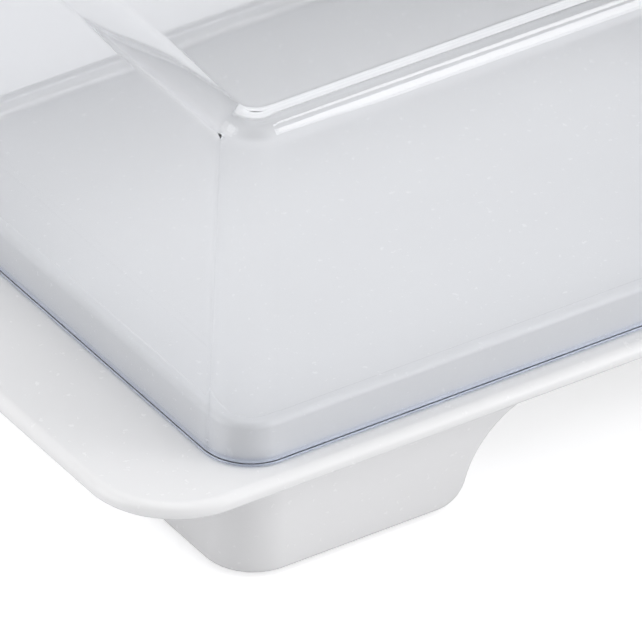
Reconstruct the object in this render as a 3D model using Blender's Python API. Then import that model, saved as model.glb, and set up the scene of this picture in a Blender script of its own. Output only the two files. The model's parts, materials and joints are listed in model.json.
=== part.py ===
# Cling film dispenser: a clear hood hinged on a white tray, with a film roll
# between two holders and a slide cutter on a rail along the hood's front edge.
# The user stands at -Y. Lengths are in metres, and +Z is up.

import math

import bmesh
import bpy
from mathutils import Vector

MM = 0.001
GAP = 0.3 * MM

# Fasteners, and the holes that clear them
SCREW_SHANK = 1.4 * MM
SCREW_HEAD = 2.7 * MM
SCREW_HEAD_HEIGHT = 2.0 * MM
SCREW_HOLE = 1.8 * MM
WIDE_SCREW_HOLE = 1.9 * MM
RIVET_SHANK = 1.2 * MM
RIVET_HEAD = 2.2 * MM
RIVET_HEAD_HEIGHT = 0.8 * MM
RIVET_HOLE = 1.6 * MM
THROUGH = 5.0 * MM

# Hood
HOOD_LENGTH = 480 * MM
HOOD_DEPTH = 117 * MM
HOOD_HEIGHT = 71.5 * MM
HOOD_WALL = 2.2 * MM
HOOD_CORNER = 9.9 * MM
HOOD_EDGE = 5.5 * MM
DRAFT = math.tan(math.radians(1.35))

# Tray
FLANGE_TOP = 26.5 * MM
FLANGE_THICKNESS = 3.0 * MM
FLANGE_CORNER = 17.5 * MM
END_OVERHANG = 21.0 * MM
SIDE_OVERHANG = 3.9 * MM
LIP_HEIGHT = 8.0 * MM
LIP_WIDTH = 2.6 * MM
LIP_ROUNDING = 1.2 * MM
LIP_CLEARANCE = 0.5 * MM
DECK_RISE = 5.0 * MM
DECK_THICKNESS = 2.5 * MM
FLANGE_EDGE = 2.0 * MM
FLANGE_UNDER_EDGE = 0.8 * MM
LIP_INNER_EDGE = 0.4 * MM
BOSS_RADIUS = 4.5 * MM
BOSS_DEPTH = 8.5 * MM
BOSS_HOLE = 2.0 * MM

# Base frame, whose feet end in a toe and an arch
PAD_REACH = 1.0 * MM
FRAME_INSET = 3.0 * MM
FRAME_WALL = 2.2 * MM
FRAME_CORNER = 10.0 * MM
FOOT_FLAT = 43.0 * MM
TOE_RADIUS = 6.0 * MM
TOE_SWING = math.radians(75)
ARCH_HEIGHT = 18.0 * MM
POST_RADIUS = 5.5 * MM
POST_SINK_RADIUS = 4.0 * MM
POST_SINK_TOP = 12.5 * MM
PAD_RADIUS = 7.0 * MM
PAD_THICKNESS = 1.7 * MM
PAD_SEAT_TOP = 2.0 * MM

# Hinge, whose axis lies behind the hood at the flange's height
HINGE_REACH = 7.6 * MM
HINGE_SPACING = 210 * MM
KNUCKLE_RADIUS = 3.0 * MM
PIN_RADIUS = 1.25 * MM
PIN_HEAD_RADIUS = 2.2 * MM
PIN_REACH = 16.0 * MM
HINGE_HALF = 15.0 * MM
HINGE_SCREW_OFFSET = 10.0 * MM
BRACKET_PLATE = 2.0 * MM
BRACKET_FRONT = 35.0 * MM
BRACKET_SCREW_Y = 43.0 * MM
KNUCKLE_GAP_HALF = 7.0 * MM
LEAF_KNUCKLE_HALF = 6.5 * MM
LEAF_FOOT = 1.0 * MM
LEAF_HEIGHT = 19.0 * MM
LEAF_THICKNESS = 2.0 * MM
LEAF_RIVET_HEIGHT = 14.0 * MM

# Roll and its holders
ROLL_Y = 4.0 * MM
ROLL_Z = 63.5 * MM
ROLL_START = -230.4 * MM
CORE_LENGTH = 304 * MM
FILM_LENGTH = 300 * MM
CORE_BORE = 15.0 * MM
CORE_RADIUS = 17.0 * MM
FILM_RADIUS = 27.0 * MM
HUB_RADIUS = 13.4 * MM
HUB_LENGTH = 14.0 * MM
SPIGOT_RADIUS = 6.0 * MM
HOLDER_PLATE = 3.0 * MM
HOLDER_FOOT = 28.0 * MM
HOLDER_HALF_DEPTH = 50.0 * MM
HOLDER_HEAD = 19.0 * MM
HOLDER_SHOULDER = 12.0 * MM
HOLDER_SCREW_OFFSET = 38.0 * MM

# Film slot and guide roller
SLOT_Y = -31.0 * MM
SLOT_WIDTH = 6.0 * MM
SLOT_LENGTH = 458 * MM
GUIDE_Y = -35.5 * MM
GUIDE_Z = 86.5 * MM
GUIDE_RADIUS = 5.0 * MM
GUIDE_LENGTH = 458 * MM
SHAFT_RADIUS = 2.0 * MM
ROLLER_PLAY = 0.7 * MM
ROLLER_BRACKET = 3.0 * MM

# Cutter rail and slide cutter
RAIL_Y = -49.5 * MM
RAIL_WIDTH = 22.0 * MM
RAIL_HEIGHT = 7.5 * MM
RAIL_LENGTH = 460 * MM
RAIL_LIP = 8.3 * MM
GROOVE_WIDTH = 9.6 * MM
GROOVE_HEIGHT = 2.5 * MM
GROOVE_FLOOR = 3.2 * MM
GROOVE_MOUTH = 4.4 * MM
STRIP_WIDTH = 5.0 * MM
STRIP_OFFSET = 7.6 * MM
STRIP_HEIGHT = 1.5 * MM
CAP_LENGTH = 4.0 * MM
CUTTER_LENGTH = 38 * MM
CUTTER_WIDTH = 21 * MM
CUTTER_HEIGHT = 10 * MM
CUTTER_PARK = -205 * MM
CUTTER_LIFT = 1.3 * MM
CUTTER_EDGE = 3.0 * MM
GRIP_HALF_LENGTH = 10.0 * MM
GRIP_HALF_WIDTH = 6.0 * MM
SHOE_HALF_LENGTH = 15.0 * MM
SHOE_HALF_WIDTH = 4.4 * MM
NECK_HALF_LENGTH = 10.0 * MM
NECK_HALF_WIDTH = 1.8 * MM
BLADE_HALF_THICKNESS = 0.25 * MM
BLADE_HALF_LENGTH = 11.0 * MM
BLADE_SLANT = 3.5 * MM

# Lift tab on the hood's front wall
TAB_WIDTH = 44 * MM
TAB_FOOT = 8.5 * MM
TAB_HEIGHT = 20.0 * MM
TAB_PLATE = 2.0 * MM
TAB_RIVET_X = 15.0 * MM
TAB_RIVET_HEIGHT = 12.5 * MM

# Lines worked out from the sizes above
HOOD_X = HOOD_LENGTH / 2
HOOD_Y = HOOD_DEPTH / 2
HOOD_TOP = FLANGE_TOP + HOOD_HEIGHT
HOOD_CEILING = HOOD_TOP - HOOD_WALL
FLANGE_BOTTOM = FLANGE_TOP - FLANGE_THICKNESS
DECK_TOP = FLANGE_TOP + DECK_RISE
DECK_UNDERSIDE = DECK_TOP - DECK_THICKNESS
LIP_TOP = FLANGE_TOP + LIP_HEIGHT
LIP_INSET = HOOD_WALL + LIP_CLEARANCE
FRAME_TOP = FLANGE_BOTTOM - GAP
ARCH_UNDERSIDE = PAD_REACH + ARCH_HEIGHT
HINGE_Y = HOOD_Y + HINGE_REACH
HINGE_Z = FLANGE_TOP
TAB_REACH = HINGE_Y + KNUCKLE_RADIUS
RAIL_BOTTOM = HOOD_TOP + GAP
RAIL_TOP = RAIL_BOTTOM + RAIL_HEIGHT
CUTTER_BOTTOM = RAIL_TOP + CUTTER_LIFT
CUTTER_TOP = CUTTER_BOTTOM + CUTTER_HEIGHT
BASE_SCREW_X = HOOD_X - 37 * MM
BASE_SCREW_Y = 36 * MM
PAD_X = HOOD_X - 18 * MM
PAD_Y = 41 * MM


def clear_scene():
    for item in list(bpy.data.objects):
        bpy.data.objects.remove(item)


def make_material(name, colour, roughness, metallic=0.0, alpha=1.0):
    material = bpy.data.materials.new(name)
    material.use_nodes = True
    shader = material.node_tree.nodes["Principled BSDF"]
    shader.inputs["Base Color"].default_value = (*colour, 1.0)
    shader.inputs["Roughness"].default_value = roughness
    shader.inputs["Metallic"].default_value = metallic
    shader.inputs["Alpha"].default_value = alpha
    return material


def make_empty(name, place, parent=None):
    empty = bpy.data.objects.new(name, None)
    bpy.context.collection.objects.link(empty)
    attach(empty, place, parent)
    return empty


def attach(item, place, parent):
    """Parents an object and puts its origin at a place given in the world."""
    origin = Vector(place)
    item.parent = parent
    while parent:
        origin -= parent.location
        parent = parent.parent
    item.location = origin


def finish(mesh_builder, name, smooth=True):
    """Turns a bmesh into an object at the world's origin."""
    bmesh.ops.recalc_face_normals(mesh_builder, faces=mesh_builder.faces)
    mesh = bpy.data.meshes.new(name)
    mesh_builder.to_mesh(mesh)
    mesh_builder.free()
    if smooth:
        mesh.shade_smooth()
        mesh.set_sharp_from_angle(angle=math.radians(35))
    item = bpy.data.objects.new(name, mesh)
    bpy.context.collection.objects.link(item)
    return item


def set_piece(item, material, parent, place):
    """Gives a piece its material, and moves its origin to a place on its body."""
    item.data.materials.clear()
    item.data.materials.append(material)
    for vertex in item.data.vertices:
        vertex.co -= Vector(place)
    attach(item, place, parent)
    return item


def combine(target, tool, operation):
    """Applies a Boolean with another object, which is then removed."""
    modifier = target.modifiers.new(operation.title(), "BOOLEAN")
    modifier.object = tool
    modifier.operation = operation
    modifier.solver = "EXACT"
    bpy.context.view_layer.update()
    graph = bpy.context.evaluated_depsgraph_get()
    result = bpy.data.meshes.new_from_object(target.evaluated_get(graph))
    target.modifiers.clear()
    target.data = result
    bpy.data.objects.remove(tool)
    return target


def add(target, tool):
    return combine(target, tool, "UNION")


def cut(target, tool):
    return combine(target, tool, "DIFFERENCE")


def bevel_edges(item, width, segments, chosen):
    """Rounds the edges whose two ends both satisfy a test."""
    builder = bmesh.new()
    builder.from_mesh(item.data)
    edges = [edge for edge in builder.edges if all(chosen(vertex.co) for vertex in edge.verts)]
    bmesh.ops.bevel(builder, geom=edges, offset=width, segments=segments, profile=0.5, affect="EDGES")
    builder.to_mesh(item.data)
    builder.free()
    return item


def rounded_rectangle(half_x, half_y, radius, steps=6):
    """Points of a rounded rectangle, counter-clockwise from the +X side."""
    centres = [(1, 1), (-1, 1), (-1, -1), (1, -1)]
    points = []
    for quarter, (side_x, side_y) in enumerate(centres):
        for step in range(steps + 1):
            angle = math.pi / 2 * (quarter + step / steps)
            x = side_x * (half_x - radius) + radius * math.cos(angle)
            y = side_y * (half_y - radius) + radius * math.sin(angle)
            points.append((x, y))
    return points


def loft(name, rings):
    """Closes a body through rings of equal point counts, capped at both ends."""
    builder = bmesh.new()
    rows = [[builder.verts.new(point) for point in ring] for ring in rings]
    for lower, upper in zip(rows, rows[1:]):
        for index in range(len(lower)):
            after = (index + 1) % len(lower)
            builder.faces.new((lower[index], lower[after], upper[after], upper[index]))
    builder.faces.new(rows[0])
    builder.faces.new(rows[-1])
    return finish(builder, name)


def box(name, low, high):
    builder = bmesh.new()
    bmesh.ops.create_cube(builder, size=1.0)
    size = Vector(high) - Vector(low)
    middle = (Vector(high) + Vector(low)) / 2
    bmesh.ops.scale(builder, vec=size, verts=builder.verts)
    bmesh.ops.translate(builder, vec=middle, verts=builder.verts)
    return finish(builder, name, smooth=False)


def prism(name, outline, axis, start, end):
    """Extrudes an outline along X or Y; the outline is (y, z) or (x, z)."""
    rings = []
    for along in (start, end):
        if axis == "X":
            rings.append([(along, first, second) for first, second in outline])
        else:
            rings.append([(first, along, second) for first, second in outline])
    return loft(name, rings)


def turned(name, axis, centre, stations, sides=20):
    """A round body through stations of (distance along the axis, radius)."""
    x, y, z = centre
    rings = []
    for along, radius in stations:
        ring = []
        for side in range(sides):
            angle = 2 * math.pi * side / sides
            first = radius * math.cos(angle)
            second = radius * math.sin(angle)
            if axis == "X":
                ring.append((x + along, y + first, z + second))
            elif axis == "Y":
                ring.append((x + first, y + along, z + second))
            else:
                ring.append((x + first, y + second, z + along))
        rings.append(ring)
    return loft(name, rings)


def hole(axis, place, radius, below=THROUGH, above=THROUGH):
    """A cutter for a plain round hole that runs a little way each side of a place."""
    return turned("hole", axis, place, [(-below, radius), (above, radius)], 12)


def arc(centre, radius, start, end, steps):
    """Points along an arc, with angles in degrees from the first axis."""
    points = []
    for step in range(steps + 1):
        angle = math.radians(start + (end - start) * step / steps)
        points.append((centre[0] + radius * math.cos(angle), centre[1] + radius * math.sin(angle)))
    return points


def level(half_x, half_y, radius, z):
    return [(x, y, z) for x, y in rounded_rectangle(half_x, half_y, radius)]


def hood_level(inset, z):
    """The hood's outline at a height, drawn in by the draft and by an inset."""
    drawn_in = inset + DRAFT * (z - FLANGE_TOP)
    return level(HOOD_X - drawn_in, HOOD_Y - drawn_in, HOOD_CORNER - drawn_in, z)


def make_hood():
    bottom = FLANGE_TOP + GAP
    inner_edge = HOOD_EDGE - HOOD_WALL
    rings = []
    for step in range(5):
        angle = math.pi / 2 * (1 - step / 4)
        inset = HOOD_WALL + inner_edge * (1 - math.cos(angle))
        rings.append(hood_level(inset, HOOD_CEILING - inner_edge * (1 - math.sin(angle))))
    rings.append(hood_level(HOOD_WALL, bottom))
    rings.append(hood_level(0, bottom))
    for step in range(6):
        angle = math.pi / 2 * step / 5
        inset = HOOD_EDGE * (1 - math.cos(angle))
        rings.append(hood_level(inset, HOOD_TOP - HOOD_EDGE * (1 - math.sin(angle))))
    hood = loft("hood", rings)
    half_slot = (SLOT_LENGTH - SLOT_WIDTH) / 2
    slot = arc((half_slot, SLOT_Y), SLOT_WIDTH / 2, -90, 90, 6)
    slot += arc((-half_slot, SLOT_Y), SLOT_WIDTH / 2, 90, 270, 6)
    depths = (HOOD_CEILING - HOOD_WALL, HOOD_TOP + HOOD_WALL)
    cut(hood, loft("slot_cutter", [[(x, y, z) for x, y in slot] for z in depths]))
    for x in rail_screw_places():
        cut(hood, hole("Z", (x, RAIL_Y, HOOD_TOP), WIDE_SCREW_HOLE))
    for x, y, z in leaf_rivet_places() + tab_rivet_places():
        cut(hood, hole("Y", (x, y, z), RIVET_HOLE))
    return hood


def rail_screw_places():
    return [-RAIL_LENGTH * 0.4, 0.0, RAIL_LENGTH * 0.4]


def leaf_rivet_places():
    height = FLANGE_TOP + LEAF_RIVET_HEIGHT
    places = []
    for middle in (-HINGE_SPACING / 2, HINGE_SPACING / 2):
        for offset in (-HINGE_SCREW_OFFSET, HINGE_SCREW_OFFSET):
            places.append((middle + offset, HOOD_Y, height))
    return places


def tab_rivet_places():
    height = FLANGE_TOP + TAB_RIVET_HEIGHT
    return [(-TAB_RIVET_X, -HOOD_Y, height), (TAB_RIVET_X, -HOOD_Y, height)]


def lip_level(inset, z):
    drawn_in = LIP_INSET + inset + DRAFT * (z - FLANGE_TOP)
    return level(HOOD_X - drawn_in, HOOD_Y - drawn_in, HOOD_CORNER - drawn_in, z)


def flange_level(inset, z):
    half_x = HOOD_X + END_OVERHANG - inset
    half_y = HOOD_Y + SIDE_OVERHANG - inset
    return level(half_x, half_y, FLANGE_CORNER - inset, z)


def pocket_level(z):
    inset = LIP_INSET + LIP_WIDTH + 0.2 * MM
    return level(HOOD_X - inset, HOOD_Y - inset, HOOD_CORNER - LIP_INSET, z)


def make_tray():
    rings = [pocket_level(DECK_UNDERSIDE), pocket_level(FLANGE_BOTTOM)]
    rings.append(flange_level(FLANGE_UNDER_EDGE, FLANGE_BOTTOM))
    rings.append(flange_level(0, FLANGE_BOTTOM + FLANGE_UNDER_EDGE))
    for step in range(5):
        angle = math.pi / 2 * step / 4
        inset = FLANGE_EDGE * (1 - math.cos(angle))
        rings.append(flange_level(inset, FLANGE_TOP - FLANGE_EDGE * (1 - math.sin(angle))))
    rings.append(lip_level(0, FLANGE_TOP))
    for step in range(4):
        angle = math.pi / 2 * step / 3
        inset = LIP_ROUNDING * (1 - math.cos(angle))
        rings.append(lip_level(inset, LIP_TOP - LIP_ROUNDING * (1 - math.sin(angle))))
    rings.append(lip_level(LIP_WIDTH - LIP_INNER_EDGE, LIP_TOP))
    rings.append(lip_level(LIP_WIDTH, LIP_TOP - LIP_INNER_EDGE))
    rings.append(lip_level(LIP_WIDTH, DECK_TOP))
    tray = loft("tray", rings)
    for x, y in corners(BASE_SCREW_X, BASE_SCREW_Y):
        stations = [(-BOSS_DEPTH, BOSS_RADIUS), (0.5 * MM, BOSS_RADIUS)]
        add(tray, turned("boss", "Z", (x, y, DECK_UNDERSIDE), stations, 16))
        cut(tray, hole("Z", (x, y, DECK_UNDERSIDE), BOSS_HOLE, BOSS_DEPTH + MM, 0.8 * MM))
    for x, y in holder_screw_places():
        cut(tray, hole("Z", (x, y, DECK_TOP), SCREW_HOLE))
    return tray


def corners(x, y):
    return [(x, y), (-x, y), (-x, -y), (x, -y)]


def foot_side(offset, top):
    """Half of the frame's side view, from the top of its end to the arch.

    The offset draws the line inwards, into the frame's material."""
    end_x = HOOD_X - FRAME_INSET
    bottom = PAD_REACH
    toe = (end_x - FOOT_FLAT, bottom + TOE_RADIUS)
    toe_height = TOE_RADIUS * (1 - math.cos(TOE_SWING))
    arch_radius = (ARCH_HEIGHT - toe_height) / (1 - math.cos(TOE_SWING))
    reach = (TOE_RADIUS + arch_radius) * math.sin(TOE_SWING)
    arch = (toe[0] - reach, bottom + ARCH_HEIGHT - arch_radius)
    swing = math.degrees(TOE_SWING)
    points = [(end_x - offset, top), (end_x - offset, bottom + offset)]
    points += arc(toe, TOE_RADIUS - offset, 270, 270 - swing, 6)
    points += arc(arch, arch_radius + offset, 90 - swing, 90, 7)[1:]
    return points


def frame_block(name, offset, top):
    """The frame's side view across its depth, with rounded upright corners."""
    half = foot_side(offset, top)
    outline = half + [(-x, z) for x, z in reversed(half)]
    block = prism(name, outline, "Y", -HOOD_Y, HOOD_Y)
    half_x = HOOD_X - FRAME_INSET - offset
    half_y = HOOD_Y - FRAME_INSET - offset
    column = [level(half_x, half_y, FRAME_CORNER - offset, z) for z in (-MM, 2 * FRAME_TOP)]
    return combine(block, loft("column", column), "INTERSECT")


def make_base_frame():
    frame = frame_block("base_frame", 0.0, FRAME_TOP)
    cut(frame, frame_block("hollow", FRAME_WALL, FRAME_TOP + MM))
    post_top = DECK_UNDERSIDE - BOSS_DEPTH - 0.5 * MM
    for x, y in corners(BASE_SCREW_X, BASE_SCREW_Y):
        foot_floor = PAD_REACH + FRAME_WALL
        post = [(foot_floor - MM, POST_RADIUS), (post_top, POST_RADIUS)]
        add(frame, turned("post", "Z", (x, y, 0), post, 16))
        cut(frame, hole("Z", (x, y, 0), WIDE_SCREW_HOLE, MM, post_top + MM))
        sink = [(-MM, POST_SINK_RADIUS), (POST_SINK_TOP, POST_SINK_RADIUS)]
        cut(frame, turned("sink", "Z", (x, y, 0), sink, 16))
    for x, y in corners(PAD_X, PAD_Y):
        seat = [(-MM, PAD_RADIUS + GAP), (PAD_SEAT_TOP, PAD_RADIUS + GAP)]
        cut(frame, turned("seat", "Z", (x, y, 0), seat, 20))
    for x, y in bracket_screw_places():
        cut(frame, hole("Z", (x, y, ARCH_UNDERSIDE), WIDE_SCREW_HOLE))
    return frame


def bracket_screw_places():
    places = []
    for middle in (-HINGE_SPACING / 2, HINGE_SPACING / 2):
        for offset in (-HINGE_SCREW_OFFSET, HINGE_SCREW_OFFSET):
            places.append((middle + offset, BRACKET_SCREW_Y))
    return places


def holder_screw_places():
    x = ROLL_START + 12 * MM
    return [(x, ROLL_Y - HOLDER_SCREW_OFFSET), (x, ROLL_Y + HOLDER_SCREW_OFFSET)]


def screw(name, place, length, up=1):
    """A pan-head screw along Z, with its head's bearing face at the place."""
    stations = [(-SCREW_HEAD_HEIGHT, 0.6 * SCREW_HEAD), (-0.7 * SCREW_HEAD_HEIGHT, SCREW_HEAD)]
    stations += [(0, SCREW_HEAD), (0.02 * MM, SCREW_SHANK)]
    stations += [(length - MM, SCREW_SHANK), (length, 0.4 * SCREW_SHANK)]
    return turned(name, "Z", place, [(up * along, radius) for along, radius in stations], 12)


def rivet(name, place, span):
    """A rivet along Y with a head at each end of its span."""
    stations = []
    for end, out in zip(span, (-1, 1)):
        head = [(end - out * 0.02 * MM, RIVET_SHANK), (end, RIVET_HEAD)]
        head += [(end + out * 0.6 * RIVET_HEAD_HEIGHT, RIVET_HEAD)]
        head += [(end + out * RIVET_HEAD_HEIGHT, 0.6 * RIVET_HEAD)]
        stations += head[::out]
    return turned(name, "Y", place, stations, 12)


def make_holder(name, plate, side, foot_bottom, foot_top):
    """A roll holder: a plate with a seat for its hub, and a foot under the roll.

    The plate is the X of its inner face, and the side points towards the roll."""
    neck = arc((ROLL_Y, ROLL_Z), HOLDER_HEAD, -20, 200, 12)
    foot_half = HOLDER_HALF_DEPTH - HOLDER_SHOULDER
    outline = neck + [(-foot_half, foot_top), (-foot_half, foot_bottom)]
    outline += [(foot_half, foot_bottom), (foot_half, foot_top)]
    outer = plate - side * HOLDER_PLATE
    holder = prism(name, outline, "X", min(plate, outer), max(plate, outer))
    ends = sorted((outer, outer + side * HOLDER_FOOT))
    low = (ends[0], -HOLDER_HALF_DEPTH, foot_bottom)
    high = (ends[1], HOLDER_HALF_DEPTH, foot_top)
    add(holder, box("foot", low, high))
    seat = [(-HOLDER_PLATE - MM, SPIGOT_RADIUS + GAP), (HOLDER_PLATE + MM, SPIGOT_RADIUS + GAP)]
    return cut(holder, turned("seat", "X", (plate, ROLL_Y, ROLL_Z), seat, 16))


def make_hub(name, plate, side):
    """The plug that carries the core's end; its spigot sits in the holder's plate."""
    stations = [(-HOLDER_PLATE, SPIGOT_RADIUS), (GAP, SPIGOT_RADIUS)]
    stations += [(GAP + 0.02 * MM, HUB_RADIUS), (HUB_LENGTH - 1.5 * MM, HUB_RADIUS)]
    stations.append((HUB_LENGTH, HUB_RADIUS - 1.5 * MM))
    stations = [(side * along, radius) for along, radius in stations]
    return turned(name, "X", (plate, ROLL_Y, ROLL_Z), stations, 24)


def make_tube(name, axis_place, start, length, outer, bore, sides):
    """A plain tube along X."""
    body = turned(name, "X", axis_place, [(start, outer), (start + length, outer)], sides)
    cutter = [(start - MM, bore), (start + length + MM, bore)]
    return cut(body, turned("bore", "X", axis_place, cutter, sides))


def make_hinge_bracket(name, middle):
    """The fixed leaf: a plate under the arch, and two knuckles behind the tray."""
    plate_top = ARCH_UNDERSIDE - GAP
    outline = [(BRACKET_FRONT, plate_top - BRACKET_PLATE)]
    outline.append((HINGE_Y + KNUCKLE_RADIUS, plate_top - BRACKET_PLATE))
    outline += arc((HINGE_Y, HINGE_Z), KNUCKLE_RADIUS, 0, 180, 8)
    outline.append((HINGE_Y - KNUCKLE_RADIUS, plate_top))
    outline.append((BRACKET_FRONT, plate_top))
    bracket = prism(name, outline, "X", middle - HINGE_HALF, middle + HINGE_HALF)
    low = (middle - KNUCKLE_GAP_HALF, HINGE_Y - THROUGH, HINGE_Z - KNUCKLE_RADIUS - GAP)
    high = (middle + KNUCKLE_GAP_HALF, HINGE_Y + THROUGH, HINGE_Z + THROUGH)
    cut(bracket, box("gap", low, high))
    cut(bracket, pin_bore(middle))
    for offset in (-HINGE_SCREW_OFFSET, HINGE_SCREW_OFFSET):
        cut(bracket, hole("Z", (middle + offset, BRACKET_SCREW_Y, plate_top), SCREW_HOLE))
    return bracket


def pin_bore(middle):
    reach = HINGE_HALF + THROUGH
    stations = [(-reach, PIN_RADIUS + GAP), (reach, PIN_RADIUS + GAP)]
    return turned("bore", "X", (middle, HINGE_Y, HINGE_Z), stations, 16)


def make_hinge_leaf(name, middle):
    """The moving leaf: a plate on the drafted wall, and one middle knuckle."""
    low = FLANGE_TOP + LEAF_FOOT
    high = FLANGE_TOP + LEAF_HEIGHT
    inner = HOOD_Y + GAP
    outer = inner + LEAF_THICKNESS
    outline = [(inner - DRAFT * (low - FLANGE_TOP), low), (inner - DRAFT * (high - FLANGE_TOP), high)]
    outline += [(outer - 0.8 * MM, high), (outer, high - MM), (outer, low)]
    leaf = prism(name, outline, "X", middle - HINGE_HALF, middle + HINGE_HALF)
    arm = [(outer - MM, low), (outer - MM, low + 3 * MM), (outer, low + 3 * MM)]
    arm += arc((HINGE_Y, HINGE_Z), KNUCKLE_RADIUS, 80, -150, 12)
    arm.append((HINGE_Y - KNUCKLE_RADIUS - 0.2 * MM, low))
    add(leaf, prism("arm", arm, "X", middle - LEAF_KNUCKLE_HALF, middle + LEAF_KNUCKLE_HALF))
    cut(leaf, pin_bore(middle))
    for offset in (-HINGE_SCREW_OFFSET, HINGE_SCREW_OFFSET):
        cut(leaf, hole("Y", (middle + offset, HOOD_Y, FLANGE_TOP + LEAF_RIVET_HEIGHT), RIVET_HOLE))
    return leaf


def make_rail():
    half = RAIL_WIDTH / 2
    groove = GROOVE_WIDTH / 2
    mouth = GROOVE_MOUTH / 2
    under = RAIL_BOTTOM + GROOVE_FLOOR
    shoulder = under + GROOVE_HEIGHT
    strip_seat = RAIL_TOP - MM
    seats = []
    for side in (1, -1):
        inner = side * (STRIP_OFFSET - STRIP_WIDTH / 2 - GAP)
        outer = side * (STRIP_OFFSET + STRIP_WIDTH / 2 + GAP)
        seats.append([(inner, RAIL_TOP), (inner, strip_seat), (outer, strip_seat), (outer, RAIL_TOP)])
    outline = [(half, RAIL_BOTTOM), (half, RAIL_TOP)]
    outline += reversed(seats[0])
    outline += [(mouth, RAIL_TOP), (mouth, shoulder), (groove, shoulder), (groove, under)]
    outline += [(-groove, under), (-groove, shoulder), (-mouth, shoulder), (-mouth, RAIL_TOP)]
    outline += seats[1]
    outline += [(-half + MM, RAIL_TOP), (-half, RAIL_TOP - MM), (-half, RAIL_BOTTOM - RAIL_LIP)]
    outline += [(-half + 2 * MM, RAIL_BOTTOM - RAIL_LIP), (-half + 2 * MM, RAIL_BOTTOM)]
    outline = [(RAIL_Y + y, z) for y, z in outline]
    rail = prism("cutter_rail", outline, "X", -RAIL_LENGTH / 2, RAIL_LENGTH / 2)
    for x in rail_screw_places():
        cut(rail, hole("Z", (x, RAIL_Y, RAIL_BOTTOM), SCREW_HOLE, MM, GROOVE_FLOOR - 0.4 * MM))
    return rail


def make_end_cap(name, side):
    """Closes an end of the rail's groove."""
    half = RAIL_WIDTH / 2
    top = RAIL_TOP + MM
    outline = [(half, RAIL_BOTTOM), (half, top - 2 * MM), (half - 2 * MM, top), (-half + 2 * MM, top)]
    outline += [(-half, top - 2 * MM), (-half, RAIL_BOTTOM - RAIL_LIP)]
    outline += [(-half + 2 * MM, RAIL_BOTTOM - RAIL_LIP), (-half + 2 * MM, RAIL_BOTTOM)]
    outline = [(RAIL_Y + y, z) for y, z in outline]
    inner = side * (RAIL_LENGTH / 2 + GAP)
    outer = inner + side * CAP_LENGTH
    return prism(name, outline, "X", min(inner, outer), max(inner, outer))


def make_strip(name, offset):
    low = RAIL_TOP - MM + GAP
    y = RAIL_Y + offset
    half = STRIP_WIDTH / 2
    end = RAIL_LENGTH / 2 - MM
    strip = box(name, (-end, y - half, low), (end, y + half, low + STRIP_HEIGHT))
    return bevel_edges(strip, 0.5 * MM, 2, lambda point: point.z > low + MM)


def make_cutter_body():
    x = CUTTER_LENGTH / 2
    y = CUTTER_WIDTH / 2
    low = (CUTTER_PARK - x, RAIL_Y - y, CUTTER_BOTTOM)
    high = (CUTTER_PARK + x, RAIL_Y + y, CUTTER_TOP)
    body = box("cutter_body", low, high)
    bevel_edges(body, CUTTER_EDGE, 4, lambda point: point.z > CUTTER_TOP - MM)
    half_x = SHOE_HALF_LENGTH + 0.5 * MM
    half_y = NECK_HALF_WIDTH + GAP
    pocket_low = (CUTTER_PARK - half_x, RAIL_Y - half_y, CUTTER_BOTTOM - MM)
    pocket_high = (CUTTER_PARK + half_x, RAIL_Y + half_y, CUTTER_BOTTOM + 4 * MM)
    cut(body, box("pocket", pocket_low, pocket_high))
    half_x = GRIP_HALF_LENGTH + GAP
    half_y = GRIP_HALF_WIDTH + GAP
    seat_low = (CUTTER_PARK - half_x, RAIL_Y - half_y, CUTTER_TOP - 1.2 * MM)
    seat_high = (CUTTER_PARK + half_x, RAIL_Y + half_y, CUTTER_TOP + MM)
    return cut(body, box("grip_seat", seat_low, seat_high))


def make_cutter_grip():
    """The ribbed rubber pad under the thumb."""
    half = GRIP_HALF_LENGTH
    ribs = 5
    pitch = 2 * half / ribs
    under = CUTTER_TOP - 0.9 * MM
    valley = CUTTER_TOP + 0.4 * MM
    ridge = CUTTER_TOP + 1.2 * MM
    outline = [(-half, under)]
    for rib in range(ribs):
        start = -half + rib * pitch
        outline += [(start, valley), (start + pitch * 0.5, ridge)]
    outline += [(half, valley), (half, under)]
    outline = [(CUTTER_PARK + x, z) for x, z in outline]
    return prism("cutter_grip", outline, "Y", RAIL_Y - GRIP_HALF_WIDTH, RAIL_Y + GRIP_HALF_WIDTH)


def make_cutter_shoe():
    """Runs in the rail's groove, and reaches up through its mouth into the body."""
    under = RAIL_BOTTOM + GROOVE_FLOOR + GAP
    shoulder = under + GROOVE_HEIGHT - 2 * GAP
    low = (CUTTER_PARK - SHOE_HALF_LENGTH, RAIL_Y - SHOE_HALF_WIDTH, under)
    high = (CUTTER_PARK + SHOE_HALF_LENGTH, RAIL_Y + SHOE_HALF_WIDTH, shoulder)
    shoe = box("cutter_shoe", low, high)
    neck_low = (CUTTER_PARK - NECK_HALF_LENGTH, RAIL_Y - NECK_HALF_WIDTH, shoulder - MM)
    neck_high = (CUTTER_PARK + NECK_HALF_LENGTH, RAIL_Y + NECK_HALF_WIDTH, CUTTER_BOTTOM + 3.6 * MM)
    add(shoe, box("neck", neck_low, neck_high))
    half_x = NECK_HALF_LENGTH + MM
    half_y = BLADE_HALF_THICKNESS + GAP
    slit_low = (CUTTER_PARK - half_x, RAIL_Y - half_y, shoulder + 0.5 * MM)
    slit_high = (CUTTER_PARK + half_x, RAIL_Y + half_y, CUTTER_BOTTOM + THROUGH)
    return cut(shoe, box("slit", slit_low, slit_high))


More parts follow.
